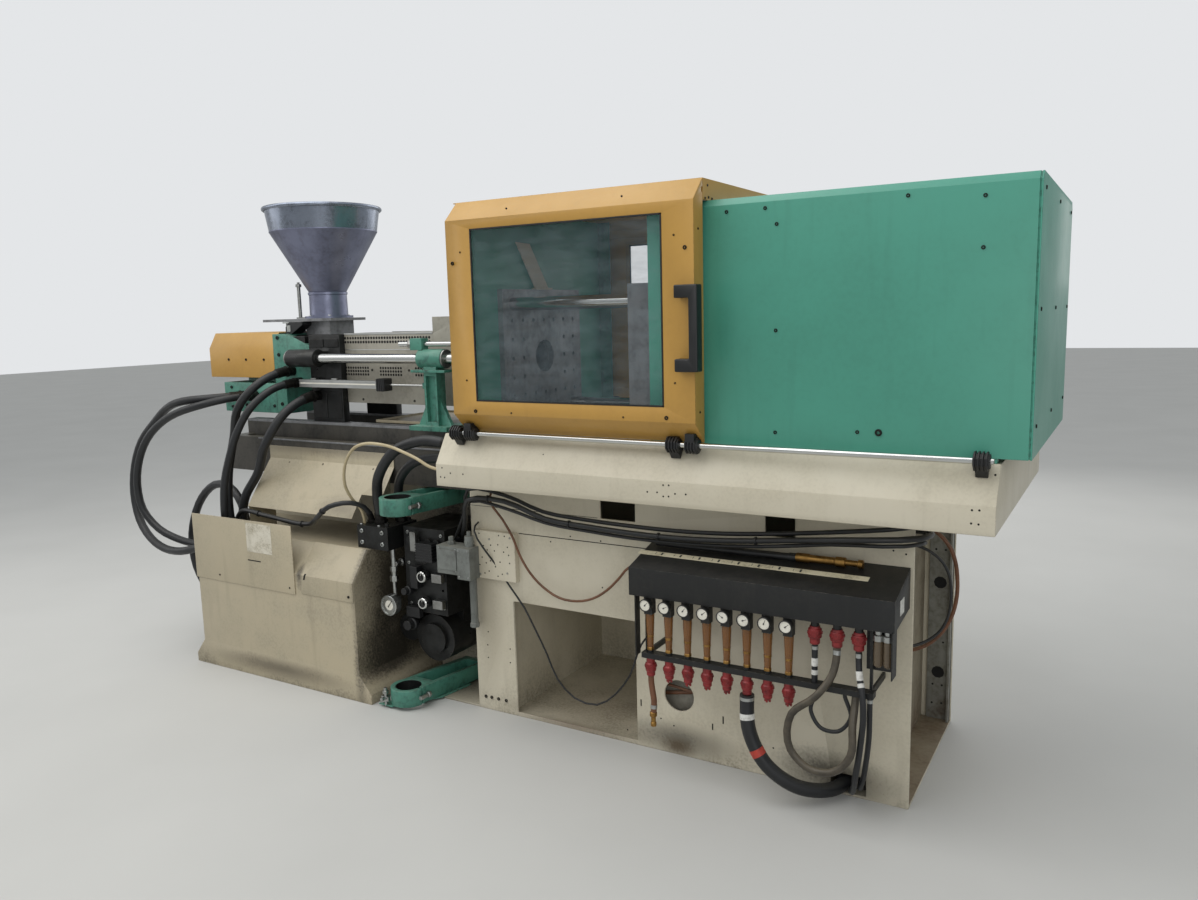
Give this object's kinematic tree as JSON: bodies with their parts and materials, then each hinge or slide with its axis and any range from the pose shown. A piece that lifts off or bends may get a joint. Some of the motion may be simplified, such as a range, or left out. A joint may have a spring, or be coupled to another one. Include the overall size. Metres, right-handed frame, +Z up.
{
  "type": "injection moulding machine",
  "caption": "Hydraulic injection moulding machine with sliding guards, platens on tie bars, an injection unit with an open hopper, a pump housing and a cooling water battery.",
  "frame": {"origin": "middle of the base's bottom face", "axes": "+X towards the clamp end, -Y the operator's side, +Z up"},
  "size_m": [3.9527, 1.142, 1.99],
  "materials": {
    "cream_paint": "satin cream paint, stained",
    "bed_paint": "oily grey beige paint",
    "teal_paint": "satin teal green paint",
    "arm_paint": "oily teal green paint",
    "yellow_paint": "satin ochre yellow paint",
    "dark_iron": "oily dark iron",
    "machined_steel": "milled steel",
    "bright_steel": "ground and chromed",
    "aluminium": "anodised aluminium",
    "black_plastic": "matt black",
    "black_paint": "satin black paint",
    "hopper_sheet": "worn, dusty steel sheet",
    "clear_plastic": "clear guard pane",
    "dial_white": "white dial faces",
    "amber": "amber tubes, rusty inside",
    "red": "dull red couplings",
    "rubber": "black rubber"
  },
  "bodies": {
    "bed": {"base_frame": "cream_paint", "pump_housing": "cream_paint", "pump_panels": "cream_paint", "pump_unit": "dark_iron", "hose_ports": "dark_iron", "deck_cover": "cream_paint", "machine_bed": "bed_paint", "apron": "cream_paint", "clamp_ways": "machined_steel", "fixed_platen": "machined_steel", "tie_bars": "bright_steel", "clamp_cylinder": "teal_paint", "clamp_cover": "teal_paint", "clamp_end_panel": "teal_paint", "mould_hood": "yellow_paint", "mould_wall": "teal_paint", "door_rails": "bright_steel", "rail_brackets": "black_plastic", "guide_rods": "bright_steel", "column_support": "teal_paint", "accumulator_clamps": "arm_paint", "hydraulic_manifold": "dark_iron", "pressure_gauge": "aluminium", "solenoid_valve": "dark_iron", "cooling_housing": "black_paint", "flow_meter_frame": "black_plastic", "cooling_dials": "dial_white", "flow_tubes": "amber", "hose_couplings": "red", "hydraulic_hoses": "rubber", "deck_hoses": "rubber", "cable_bundle": "rubber", "loose_cables": "rubber", "cooling_hoses": "rubber"},
    "door": {"door_frame": "yellow_paint", "door_window": "clear_plastic", "door_handle": "black_plastic", "door_runners": "black_plastic"},
    "rear_door": {"rear_door_frame": "yellow_paint", "rear_door_window": "clear_plastic", "rear_door_runners": "black_plastic"},
    "platen": {"moving_platen": "machined_steel", "clamp_piston": "bright_steel"},
    "ejector_set": {"ejector": "bright_steel"},
    "injection_unit": {"injection_block": "dark_iron", "drive_plate": "teal_paint", "motor_cover": "yellow_paint", "manifold_box": "teal_paint", "injection_cylinder": "machined_steel", "barrel": "machined_steel", "barrel_guard": "cream_paint", "position_transducer": "aluminium", "hose_stubs": "dark_iron", "hopper_slide": "aluminium"},
    "hopper_set": {"hopper": "hopper_sheet"},
    "injection_ram": {"injection_piston": "bright_steel"},
    "screw": {"plasticising_screw": "bright_steel"},
    "knob_1": {"valve_knob_1": "black_plastic"},
    "knob_2": {"valve_knob_2": "black_plastic"}
  },
  "joints": [
    {"name": "door_slide", "type": "slide", "parent": "bed", "child": "door", "axis": [1, 0, 0], "range_m": [0, 0.71]},
    {"name": "rear_door_slide", "type": "slide", "parent": "bed", "child": "rear_door", "axis": [1, 0, 0], "range_m": [0, 0.71]},
    {"name": "clamp_slide", "type": "slide", "parent": "bed", "child": "platen", "axis": [1, 0, 0], "range_m": [-0.3, 0]},
    {"name": "ejector_slide", "type": "slide", "parent": "platen", "child": "ejector_set", "axis": [-1, 0, 0], "range_m": [0, 0.09]},
    {"name": "carriage_slide", "type": "slide", "parent": "bed", "child": "injection_unit", "axis": [1, 0, 0], "range_m": [-0.08, 0.09], "deforming": ["hydraulic_hoses"]},
    {"name": "hopper_slide_joint", "type": "slide", "parent": "injection_unit", "child": "hopper_set", "axis": [-1, 0, 0], "range_m": [0, 0.2]},
    {"name": "injection_stroke", "type": "slide", "parent": "injection_unit", "child": "injection_ram", "axis": [-1, 0, 0], "range_m": [0, 0.12]},
    {"name": "screw_turn", "type": "hinge", "parent": "injection_ram", "child": "screw", "pos_m": [-0.7, 0, 1.338], "axis": [1, 0, 0], "continuous": true},
    {"name": "knob_1_turn", "type": "hinge", "parent": "bed", "child": "knob_1", "pos_m": [-0.312, -0.378, 0.504], "axis": [0, -1, 0], "range_deg": [-135, 135]},
    {"name": "knob_2_turn", "type": "hinge", "parent": "bed", "child": "knob_2", "pos_m": [-0.312, -0.378, 0.398], "axis": [0, -1, 0], "range_deg": [-135, 135]}
  ]
}
